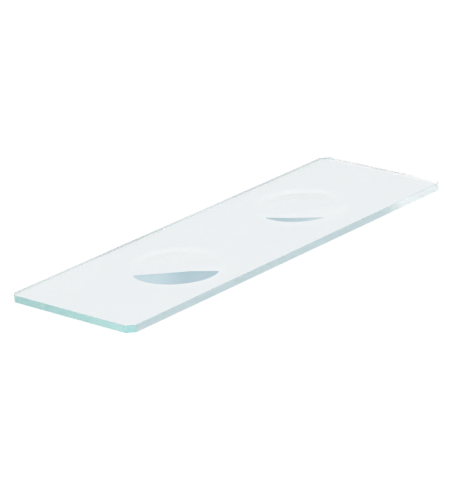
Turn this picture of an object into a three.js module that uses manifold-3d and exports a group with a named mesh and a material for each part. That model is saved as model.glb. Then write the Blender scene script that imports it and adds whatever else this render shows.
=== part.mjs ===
// A double-cavity microscope slide: one plate of clear float glass with two shallow
// polished wells in its top face, a 45 degree clip at each corner and a fine ground
// arris along every edge.
// Units are millimetres. +X runs along the slide, +Z is up, and the origin is the
// centre of the underside.
import * as THREE from "three";
import { mergeVertices } from "three/addons/utils/BufferGeometryUtils.js";
import Module from "manifold-3d";

// Driving dimensions of the plate: the 3 by 1 inch slide format.
const slideLength = 76.2;
const slideWidth = 25.4;
const slideThickness = 1.2;
const arris = 0.02; // chamfer that takes the sharpness off every edge

// The corners, anticlockwise: which way each lies from the centre, and the leg of its
// clip along each side. They are ground by hand, so no two are quite alike.
const corners = [
  { x: -1, y: -1, clip: 1.2 },
  { x: 1, y: -1, clip: 1.0 },
  { x: 1, y: 1, clip: 1.2 },
  { x: -1, y: 1, clip: 0.8 },
];

// Driving dimensions of the wells. They are ground as a pair in one jig, which sat a
// little off the plate's centre and a little askew.
const wellRadius = 8.7;
const wellDepth = 0.142;
const lipWidth = 1.1; // ring over which a bowl rolls out into the flat top face
const wellSpacing = 31.5;
const pairOffset = new THREE.Vector2(0.9, -0.35);
const pairSkew = THREE.MathUtils.degToRad(2.3);

// Fineness of the turned surfaces.
const wellSegments = 72;
const bowlSteps = 14;
const lipSteps = 5;
const cutterHeadroom = 1; // how far a cutter stands above the top face

const wasm = await Module();
wasm.setup();

function toManifold(geometry) {
  const bare = geometry.clone();
  bare.deleteAttribute("normal");
  bare.deleteAttribute("uv");
  const merged = mergeVertices(bare);
  const index = merged.index.array;
  const triangles = [];
  for (let i = 0; i < index.length; i += 3) {
    const [a, b, c] = index.slice(i, i + 3);
    // A lathe's rings collapse to a point on its axis and leave empty triangles there.
    if (a !== b && b !== c && c !== a) {
      triangles.push(a, b, c);
    }
  }
  return new wasm.Manifold(new wasm.Mesh({
    numProp: 3,
    vertProperties: new Float32Array(merged.attributes.position.array),
    triVerts: new Uint32Array(triangles),
  }));
}

function toGeometry(solid) {
  const mesh = solid.getMesh();
  const geometry = new THREE.BufferGeometry();
  geometry.setAttribute("position", new THREE.BufferAttribute(mesh.vertProperties, 3));
  geometry.setIndex(new THREE.BufferAttribute(mesh.triVerts, 1));
  geometry.computeVertexNormals();
  return geometry;
}

// The plate's outline, an octagon: a rectangle with its four corners clipped.
function plateOutline() {
  const points = [];
  for (const { x, y, clip } of corners) {
    const corner = new THREE.Vector2(x * slideLength / 2, y * slideWidth / 2);
    const onEnd = new THREE.Vector2(corner.x, corner.y - y * clip);
    const onSide = new THREE.Vector2(corner.x - x * clip, corner.y);
    // Going round anticlockwise, the end comes first at two of the corners.
    points.push(...(x === y ? [onEnd, onSide] : [onSide, onEnd]));
  }
  return new THREE.Shape(points);
}

function makePlate() {
  const plate = new THREE.ExtrudeGeometry(plateOutline(), {
    depth: slideThickness - 2 * arris,
    bevelEnabled: true,
    bevelThickness: arris,
    bevelSize: arris,
    bevelOffset: -arris,
    bevelSegments: 1,
  });
  return plate.translate(0, 0, arris);
}

// The tool that sinks one well: a shallow spherical bowl whose edge rolls over in a
// small convex lip, tangent to the top face. Turned about +Z, with the top face at 0.
function makeWellCutter() {
  const rimSlope = 2 * Math.atan(wellDepth / wellRadius);
  const bowlRadius = (wellRadius - lipWidth) / Math.sin(rimSlope);
  const lipRadius = lipWidth / Math.sin(rimSlope);
  const down = -Math.PI / 2;
  const up = Math.PI / 2;
  const bowl = new THREE.ArcCurve(0, bowlRadius - wellDepth, bowlRadius, down, down + rimSlope);
  const lip = new THREE.ArcCurve(wellRadius, -lipRadius, lipRadius, up + rimSlope, up, true);
  const profile = [
    ...bowl.getPoints(bowlSteps),
    ...lip.getPoints(lipSteps).slice(1),
    new THREE.Vector2(wellRadius, cutterHeadroom),
    new THREE.Vector2(0, cutterHeadroom),
  ];
  profile[0].x = 0;
  return new THREE.LatheGeometry(profile, wellSegments).rotateX(Math.PI / 2);
}

// Where a well sits on the top face: side is -1 for the left well, 1 for the right.
function wellCentre(side) {
  const along = new THREE.Vector2(side * wellSpacing / 2, 0);
  return along.rotateAround(new THREE.Vector2(), pairSkew).add(pairOffset);
}

function makeSlide() {
  let solid = toManifold(makePlate());
  for (const side of [-1, 1]) {
    const centre = wellCentre(side);
    const cutter = makeWellCutter().translate(centre.x, centre.y, slideThickness);
    solid = solid.subtract(toManifold(cutter));
  }
  return toGeometry(solid);
}

const clearGlass = new THREE.MeshStandardMaterial({
  color: 0xdcebea,
  roughness: 0.05,
  metalness: 0,
  transparent: true,
  opacity: 0.35,
});

const slide = new THREE.Mesh(makeSlide(), clearGlass);
slide.name = "glass_slide";

const assembly = new THREE.Group();
assembly.add(slide);

export default assembly;
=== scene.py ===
import math

import bmesh
import bpy
from mathutils import Matrix, Vector


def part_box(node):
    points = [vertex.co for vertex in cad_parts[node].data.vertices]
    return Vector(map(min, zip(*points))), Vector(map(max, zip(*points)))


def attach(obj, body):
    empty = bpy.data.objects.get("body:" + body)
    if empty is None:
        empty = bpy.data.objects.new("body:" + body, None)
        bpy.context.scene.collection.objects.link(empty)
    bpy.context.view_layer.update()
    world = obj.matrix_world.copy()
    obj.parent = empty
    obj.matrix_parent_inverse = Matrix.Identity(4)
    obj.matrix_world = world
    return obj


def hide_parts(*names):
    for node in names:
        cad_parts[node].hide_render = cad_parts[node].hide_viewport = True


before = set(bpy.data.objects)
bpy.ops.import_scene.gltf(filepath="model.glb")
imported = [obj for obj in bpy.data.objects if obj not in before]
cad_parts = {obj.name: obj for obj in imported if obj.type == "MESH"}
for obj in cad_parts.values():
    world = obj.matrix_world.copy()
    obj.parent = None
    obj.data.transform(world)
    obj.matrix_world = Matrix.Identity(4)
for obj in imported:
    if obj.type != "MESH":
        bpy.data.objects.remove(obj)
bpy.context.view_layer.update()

MM = 0.001

# The plate, from the frame. Each corner, named by the signs of its x and y, has its own clip.
low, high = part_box("glass_slide")
LENGTH, WIDTH, THICKNESS = high - low
CORNER_CLIPS = {(1, 1): 1.2 * MM, (-1, 1): 0.8 * MM, (-1, -1): 1.2 * MM, (1, -1): 1.0 * MM}
ARRIS = 0.02 * MM

# The wells: two alike, a little off centre and askew as a pair, as the CAD solid has them.
WELL_RADIUS = 8.7 * MM
WELL_SPACING = 31.5 * MM
PAIR_OFFSET = Vector((0.9, -0.35)) * MM
PAIR_SKEW = math.radians(2.3)
WELL_DEPTH = 0.142 * MM
LIP_WIDTH = 1.1 * MM
RIM_MARGIN = 0.1 * MM  # flat ring just outside a lip, so that its shading stops there

# Fineness of the mesh.
EDGE_STEP = 0.8 * MM
LEAST_STEPS = 2
WELL_SEGMENTS = 256
BOWL_RINGS = 48
LIP_RINGS = 10
SHARP_ANGLE = math.radians(25)

# How far a face's unit normal points along an axis, at least, when the face looks straight
# along that axis and when it only leans that way.
STRAIGHT = 0.9
LEANING = 0.1

# The glass, with its green depth, which takes up red.
GLASS_IOR = 1.52
DEPTH_COLOUR = (0.0, 0.97, 0.93, 1)
DEPTH_DENSITY = 4.8

# The kinds of surface, which are also the slots of their materials, and what light keeps on
# crossing each of them. The long sides' darker blue-grey is painted shade.
POLISHED, SIDE, END, GROUND = range(4)
FACE_COLOUR = (0.870, 0.893, 0.905, 1)
SIDE_SHADE_COLOUR = (0.755, 0.765, 0.805, 1)
END_COLOUR = (0.97, 1.0, 1.0, 1)
GROUND_COLOUR = (0.62, 0.95, 0.97, 1)

# The film on the polished faces: its tone, and the noise levels between which it comes in.
FILM_COLOUR = (0.862, 0.884, 0.897, 1)
FILM_SCALE = 90
FILM_DETAIL = 3
FILM_LEVELS = (0.35, 0.65)

# The cut and ground surfaces. Their marks are some 15 mm long and a third of a millimetre
# apart. Below a roughness of 0.28 the cut sides come out grainy.
CUT_ROUGHNESS = 0.28
GROUND_ROUGHNESS = 0.2
GROUND_CLEARNESS = 0.6
MARK_SCALE = (60, 60, 3000)
MARK_DETAIL = 2
MARK_DEPTH = 0.0008 * MM

# The camera: what it looks at, and where it stands from there. An azimuth of 0 is in front,
# on the -Y side, and 90 degrees is on the +X side.
VIEW_TARGET = Vector((-3.83, -1.32, 0)) * MM
VIEW_AZIMUTH = math.radians(-47.39)
VIEW_ELEVATION = math.radians(20.42)
VIEW_ROLL = math.radians(-3.83)
VIEW_DISTANCE = 499 * MM
VIEW_REACH = 10
LENS = 224.1

# How often light may turn inside the plate, along which it runs a long way.
MOST_BOUNCES = 64
MOST_REFLECTIONS = 32

# The floor, and a blue-grey sheet of painted shade that lies on it: only the glass shows it,
# as the dark crescents in the wells. The sheet's corners are in millimetres, ahead of the
# part's origin and to the right of it as the camera faces. Its tones run from left to right.
FLOOR_SIZE = 6.0
FLOOR_DROP = 600 * MM
FLOOR_COLOUR = (0.78, 0.78, 0.78, 1)
SHADE_SHEET_LIFT = 1 * MM
SHADE_SHEET_CORNERS = [
    (1180, -150),
    (1180, 110),
    (1375, 110),
    (1381, 80),
    (1406, 30),
    (1444, -10),
    (1434, -150),
]
# Tones of painted shade across the sheet, from left to right.
SHADE_SHEET_TONES = [
    (0.34, (0.415, 0.55, 0.60, 1)),
    (0.50, (0.265, 0.41, 0.475, 1)),
    (0.57, (0.295, 0.43, 0.490, 1)),
    (0.66, (0.270, 0.41, 0.470, 1)),
    (0.87, (0.42, 0.54, 0.58, 1)),
]

# What the glass reflects. The sky's tones go by height, which is measured along a line that
# leans to the camera's right.
SKY_TOWARDS = Vector((0.305, -0.331, 1))
SKY = [
    (0.000, (0.97, 0.97, 0.97, 1)),
    (0.250, (0.97, 0.97, 0.97, 1)),
    (0.335, (0.78, 0.81, 0.83, 1)),
    (0.362, (0.78, 0.81, 0.83, 1)),
    (0.400, (0.96, 0.98, 0.99, 1)),
    (1.000, (0.96, 0.98, 0.99, 1)),
]

# A low bright window on the camera's left, with soft edges. Each edge says where the window
# starts to show and where it is full: by the cosine of the angle from its middle, and by
# height.
WINDOW_TOWARDS = Vector((-0.69, 0.63, 0.20)).normalized()
WINDOW_SIDES = (math.cos(math.radians(44)), math.cos(math.radians(12)))
WINDOW_TOP = (0.42, 0.20)
WINDOW_COLOUR = (4.5, 3.45, 3.3, 1)

# The strength of the light that glass shows, of the even light on the floor, and of the
# white behind everything.
GLASS_LIGHT = 1.0
ROOM_LIGHT = 1.32
BACKDROP_LIGHT = 1.0


def side_points(start, end, steps):
    """Points along a straight side, with the start and without the end."""
    return [start.lerp(end, i / steps) for i in range(steps)]


def close_edges(ring):
    """Each point of a closed ring with the next one."""
    return list(zip(ring, ring[1:] + ring[:1]))


def outline_corners(inset):
    """The plate's eight corners, drawn inset from its widest line, anticlockwise.

    A clip's flat moves in by the inset too, so the clip gets a little shorter.
    """
    half_x = LENGTH / 2 - inset
    half_y = WIDTH / 2 - inset
    corners = []
    for (x_sign, y_sign), full_clip in CORNER_CLIPS.items():
        clip = full_clip - inset * (2 - math.sqrt(2))
        ends = [
            Vector((x_sign * half_x, y_sign * (half_y - clip))),
            Vector((x_sign * (half_x - clip), y_sign * half_y)),
        ]
        corners += ends if x_sign == y_sign else reversed(ends)
    return corners


def outline(inset):
    """Points all along the inset outline, as many at every inset, so that the lines join up."""
    full_sides = close_edges(outline_corners(0))
    inset_sides = close_edges(outline_corners(inset))
    points = []
    for (full_start, full_end), (start, end) in zip(full_sides, inset_sides):
        steps = max(LEAST_STEPS, round((full_end - full_start).length / EDGE_STEP))
        points += side_points(start, end, steps)
    return points


def edge_profile():
    """Inset and height of each line round the edge, from the underside to the top face."""
    return [
        (ARRIS, 0),
        (0, ARRIS),
        (0, THICKNESS - ARRIS),
        (ARRIS, THICKNESS),
    ]


def well_profile():
    """Radius and height of each ring of a well, from the middle out to the flat face.

    The bowl and the lip are arcs that meet at the same slope, and the lip ends level.
    """
    slope = 2 * math.atan(WELL_DEPTH / WELL_RADIUS)
    bowl_radius = (WELL_RADIUS - LIP_WIDTH) / math.sin(slope)
    lip_radius = LIP_WIDTH / math.sin(slope)
    rings = []
    for i in range(1, BOWL_RINGS + 1):
        angle = slope * i / BOWL_RINGS
        rise = bowl_radius * (1 - math.cos(angle))
        rings.append((bowl_radius * math.sin(angle), rise - WELL_DEPTH))
    for i in range(1, LIP_RINGS + 1):
        angle = slope * (1 - i / LIP_RINGS)
        drop = lip_radius * (1 - math.cos(angle))
        rings.append((WELL_RADIUS - lip_radius * math.sin(angle), -drop))
    rings.append((WELL_RADIUS + RIM_MARGIN, 0))
    return [(radius, THICKNESS + height) for radius, height in rings]


def add_ring(mesh, points):
    return [mesh.verts.new(point) for point in points]


def join_rings(mesh, inner, outer):
    """Quads between two rings of the same length."""
    count = len(inner)
    for i in range(count):
        j = (i + 1) % count
        mesh.faces.new((inner[i], outer[i], outer[j], inner[j]))


def well_centre(side):
    """Where a well is: side is -1 for the one nearer the -X end, and 1 for the other."""
    along = Vector((side * WELL_SPACING / 2, 0))
    along.rotate(Matrix.Rotation(PAIR_SKEW, 2))
    return along + PAIR_OFFSET


def add_well(mesh, side):
    """One well's bowl and lip. Returns its outermost ring, which lies in the top face."""
    centre = well_centre(side)
    turns = [2 * math.pi * i / WELL_SEGMENTS for i in range(WELL_SEGMENTS)]
    middle = mesh.verts.new((centre.x, centre.y, THICKNESS - WELL_DEPTH))
    last = None
    for radius, height in well_profile():
        ring = add_ring(mesh, [
            (centre.x + radius * math.cos(turn), centre.y + radius * math.sin(turn), height)
            for turn in turns
        ])
        if last:
            join_rings(mesh, last, ring)
        else:
            for a, b in close_edges(ring):
                mesh.faces.new((middle, a, b))
        last = ring
    return last


def add_edge_band(mesh):
    """The plate's sides and arrises. Returns the outline rings of the underside and the top."""
    rings = [
        add_ring(mesh, [(p.x, p.y, height) for p in outline(inset)])
        for inset, height in edge_profile()
    ]
    for below, above in zip(rings, rings[1:]):
        join_rings(mesh, above, below)
    return rings[0], rings[-1]


def surface_kind(normal):
    """The arrises and one corner are ground. The other corners are cut like the long sides."""
    if abs(normal.z) > STRAIGHT:
        return POLISHED
    on_arris = abs(normal.z) > LEANING
    on_ground_corner = normal.x < -LEANING and normal.y < -LEANING
    if on_arris or on_ground_corner:
        return GROUND
    return END if abs(normal.x) > STRAIGHT else SIDE


def build_slide():
    """The whole plate as one closed mesh, with the top face filled round the two wells."""
    mesh = bmesh.new()
    bottom_ring, top_ring = add_edge_band(mesh)
    mesh.faces.new(list(reversed(bottom_ring)))
    loops = [top_ring] + [add_well(mesh, side) for side in (-1, 1)]
    edges = [mesh.edges.get(pair) for loop in loops for pair in close_edges(loop)]
    bmesh.ops.triangle_fill(mesh, edges=edges, use_beauty=True, normal=(0, 0, 1))
    bmesh.ops.recalc_face_normals(mesh, faces=mesh.faces)
    for face in mesh.faces:
        face.smooth = True
        face.material_index = surface_kind(face.normal)
    data = bpy.data.meshes.new("slide")
    mesh.to_mesh(data)
    mesh.free()
    data.set_sharp_from_angle(angle=SHARP_ANGLE)
    return data


def node(tree, kind, **inputs):
    """A new node with the given values on its inputs."""
    made = tree.nodes.new(kind)
    for name, value in inputs.items():
        made.inputs[name.replace("_", " ")].default_value = value
    return made


def colour_ramp(tree, stops):
    """A ramp through the given positions and colours."""
    ramp = tree.nodes.new("ShaderNodeValToRGB")
    elements = ramp.color_ramp.elements
    for position, colour in stops[1:-1]:
        elements.new(position)
    for element, (position, colour) in zip(elements, stops):
        element.position = position
        element.color = colour
    return ramp


def grinding_marks(tree):
    """Bump of fine level marks, which tilt an upright surface up and down only."""
    place = tree.nodes.new("ShaderNodeTexCoord")
    stretch = tree.nodes.new("ShaderNodeMapping")
    stretch.inputs["Scale"].default_value = MARK_SCALE
    marks = node(tree, "ShaderNodeTexNoise", Scale=1, Detail=MARK_DETAIL)
    bump = node(tree, "ShaderNodeBump", Strength=1, Distance=MARK_DEPTH)
    tree.links.new(place.outputs["Object"], stretch.inputs["Vector"])
    tree.links.new(stretch.outputs[0], marks.inputs["Vector"])
    tree.links.new(marks.outputs[0], bump.inputs["Height"])
    return bump.outputs[0]


def film(tree):
    """Patches where the polish is a trace duller."""
    place = tree.nodes.new("ShaderNodeTexCoord")
    patches = node(tree, "ShaderNodeTexNoise", Scale=FILM_SCALE, Detail=FILM_DETAIL)
    tones = colour_ramp(tree, list(zip(FILM_LEVELS, (FACE_COLOUR, FILM_COLOUR))))
    tree.links.new(place.outputs["Object"], patches.inputs["Vector"])
    tree.links.new(patches.outputs[0], tones.inputs[0])
    return tones.outputs["Color"]


def glass(name, colour, roughness, clearness=1):
    """Clear glass with its green depth. Returns the material, its tree and its surface."""
    material = bpy.data.materials.new(name)
    material.use_nodes = True
    tree = material.node_tree
    tree.nodes.clear()
    output = tree.nodes.new("ShaderNodeOutputMaterial")
    surface = node(tree, "ShaderNodeBsdfPrincipled", IOR=GLASS_IOR, Roughness=roughness)
    surface.inputs["Base Color"].default_value = colour
    surface.inputs["Transmission Weight"].default_value = clearness
    volume = node(tree, "ShaderNodeVolumeAbsorption", Density=DEPTH_DENSITY)
    volume.inputs["Color"].default_value = DEPTH_COLOUR
    tree.links.new(surface.outputs[0], output.inputs["Surface"])
    tree.links.new(volume.outputs[0], output.inputs["Volume"])
    return material, tree, surface


def polished_glass():
    """The clear faces and the wells."""
    material, tree, surface = glass("polished_glass", FACE_COLOUR, roughness=0)
    tree.links.new(film(tree), surface.inputs["Base Color"])
    return material


def cut_glass(name, colour):
    """An upright side, evenly rough, with marks along it."""
    material, tree, surface = glass(name, colour, CUT_ROUGHNESS)
    tree.links.new(grinding_marks(tree), surface.inputs["Normal"])
    return material


def ground_glass():
    """A cloudy surface that scatters some of the light."""
    material, tree, surface = glass(
        "ground_glass", GROUND_COLOUR, GROUND_ROUGHNESS, GROUND_CLEARNESS
    )
    tree.links.new(grinding_marks(tree), surface.inputs["Normal"])
    return material


def make_slide():
    slide = bpy.data.objects.new("slide_glass", build_slide())
    bpy.context.collection.objects.link(slide)
    in_order_of_kind = [
        polished_glass(),
        # The long sides' tint is painted shade, darker than the ends'.
        cut_glass("side_glass_painted_shade", SIDE_SHADE_COLOUR),
        cut_glass("end_glass", END_COLOUR),
        ground_glass(),
    ]
    for material in in_order_of_kind:
        slide.data.materials.append(material)
    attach(slide, "root")
    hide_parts("glass_slide")


def level_polygon(name, corners, height, turn=0.0):
    """A level sheet as a stage object."""
    data = bpy.data.meshes.new(name)
    data.from_pydata([(x, y, 0) for x, y in corners], [], [range(len(corners))])
    made = bpy.data.objects.new(name, data)
    made.location.z = height
    made.rotation_euler.z = turn
    bpy.context.collection.objects.link(made)
    return made


def matt_material(name, colour):
    """A material with no shine at all."""
    material = bpy.data.materials.new(name)
    material.use_nodes = True
    surface = material.node_tree.nodes["Principled BSDF"]
    surface.inputs["Base Color"].default_value = colour
    surface.inputs["Roughness"].default_value = 1
    surface.inputs["Specular IOR Level"].default_value = 0
    return material


def make_floor():
    half = FLOOR_SIZE / 2
    corners = [(-half, -half), (half, -half), (half, half), (-half, half)]
    floor = level_polygon("floor", corners, -FLOOR_DROP)
    floor.data.materials.append(matt_material("pale_floor", FLOOR_COLOUR))


def make_shade_sheet():
    """A sheet of painted shade on the floor, far behind the slide, that only the glass shows,
    as the dark crescents in the wells.
    """
    corners = [(right * MM, ahead * MM) for ahead, right in SHADE_SHEET_CORNERS]
    shade_sheet = level_polygon("shade_sheet", corners, SHADE_SHEET_LIFT - FLOOR_DROP, VIEW_AZIMUTH)
    shade_sheet.visible_camera = False
    shade_sheet.visible_diffuse = False
    shade_sheet.visible_shadow = False
    # The sheet's blue-grey is painted shade.
    material = matt_material("painted_shade_sheet", SHADE_SHEET_TONES[0][1])
    tree = material.node_tree
    place = tree.nodes.new("ShaderNodeTexCoord")
    across = tree.nodes.new("ShaderNodeSeparateXYZ")
    tones = colour_ramp(tree, SHADE_SHEET_TONES)
    tree.links.new(place.outputs["Generated"], across.inputs[0])
    tree.links.new(across.outputs["X"], tones.inputs[0])
    tree.links.new(tones.outputs[0], tree.nodes["Principled BSDF"].inputs["Base Color"])
    shade_sheet.data.materials.append(material)


def sky_colour(tree, direction):
    """White near the horizon, dimmer a third of the way up, and white again overhead."""
    height = tree.nodes.new("ShaderNodeVectorMath")
    height.operation = "DOT_PRODUCT"
    height.inputs[1].default_value = SKY_TOWARDS
    ramp = colour_ramp(tree, SKY)
    tree.links.new(direction, height.inputs[0])
    tree.links.new(height.outputs["Value"], ramp.inputs[0])
    return ramp.outputs["Color"]


def soft_step(tree, value, edge):
    """0 before an edge and 1 past it, with a smooth change between the edge's two numbers."""
    fade = tree.nodes.new("ShaderNodeMapRange")
    fade.interpolation_type = "SMOOTHSTEP"
    fade.inputs["From Min"].default_value = edge[0]
    fade.inputs["From Max"].default_value = edge[1]
    tree.links.new(value, fade.inputs["Value"])
    return fade.outputs[0]


def window_amount(tree, direction):
    """1 where the window is full, 0 away from it."""
    facing = tree.nodes.new("ShaderNodeVectorMath")
    facing.operation = "DOT_PRODUCT"
    facing.inputs[1].default_value = WINDOW_TOWARDS
    parts = tree.nodes.new("ShaderNodeSeparateXYZ")
    both = tree.nodes.new("ShaderNodeMath")
    both.operation = "MULTIPLY"
    tree.links.new(direction, facing.inputs[0])
    tree.links.new(direction, parts.inputs[0])
    tree.links.new(soft_step(tree, facing.outputs["Value"], WINDOW_SIDES), both.inputs[0])
    tree.links.new(soft_step(tree, parts.outputs["Z"], WINDOW_TOP), both.inputs[1])
    return both.outputs[0]


def glass_light(tree):
    """The sky with the window in it."""
    direction = tree.nodes.new("ShaderNodeTexCoord").outputs["Generated"]
    blend = tree.nodes.new("ShaderNodeMix")
    blend.data_type = "RGBA"
    blend.inputs["B"].default_value = WINDOW_COLOUR
    tree.links.new(window_amount(tree, direction), blend.inputs["Factor"])
    tree.links.new(sky_colour(tree, direction), blend.inputs["A"])
    shown = light(tree, GLASS_LIGHT)
    tree.links.new(blend.outputs["Result"], shown.inputs["Color"])
    return shown


def light(tree, strength):
    """A background of the given strength, white until something else is linked to it."""
    made = node(tree, "ShaderNodeBackground", Strength=strength)
    made.inputs["Color"].default_value = (1, 1, 1, 1)
    return made


def make_world():
    """Seen straight on the world is white, it lights the floor evenly, and glass shows the sky.

    It has no light sampling, which would let the sky and the window reach the floor too.
    """
    world = bpy.data.worlds.new("studio")
    bpy.context.scene.world = world
    world.use_nodes = True
    world.cycles.sampling_method = "NONE"
    tree = world.node_tree
    tree.nodes.clear()
    output = tree.nodes.new("ShaderNodeOutputWorld")
    path = tree.nodes.new("ShaderNodeLightPath")
    last = glass_light(tree)
    for ray, strength in (("Is Diffuse Ray", ROOM_LIGHT), ("Is Camera Ray", BACKDROP_LIGHT)):
        mix = tree.nodes.new("ShaderNodeMixShader")
        tree.links.new(path.outputs[ray], mix.inputs[0])
        tree.links.new(last.outputs[0], mix.inputs[1])
        tree.links.new(light(tree, strength).outputs[0], mix.inputs[2])
        last = mix
    tree.links.new(last.outputs[0], output.inputs["Surface"])


def make_camera():
    """The camera, turned so that its back points from the target to where it stands."""
    scene = bpy.context.scene
    camera = bpy.data.objects.new("camera", bpy.data.cameras.new("camera"))
    bpy.context.collection.objects.link(camera)
    camera.data.lens = LENS
    camera.data.clip_end = VIEW_REACH
    level = math.cos(VIEW_ELEVATION)
    back = Vector((
        math.sin(VIEW_AZIMUTH) * level,
        -math.cos(VIEW_AZIMUTH) * level,
        math.sin(VIEW_ELEVATION),
    ))
    turn = back.to_track_quat("Z", "Y").to_matrix() @ Matrix.Rotation(VIEW_ROLL, 3, "Z")
    camera.matrix_world = Matrix.Translation(VIEW_TARGET + back * VIEW_DISTANCE) @ turn.to_4x4()
    scene.camera = camera


def set_look():
    """Plain colours, and enough bounces for light to find its way out of the plate."""
    scene = bpy.context.scene
    scene.view_settings.view_transform = "Standard"
    scene.cycles.max_bounces = MOST_BOUNCES
    scene.cycles.transmission_bounces = MOST_BOUNCES
    scene.cycles.glossy_bounces = MOST_REFLECTIONS
    scene.cycles.use_denoising = True


make_camera()
make_slide()
make_floor()
make_shade_sheet()
make_world()
set_look()
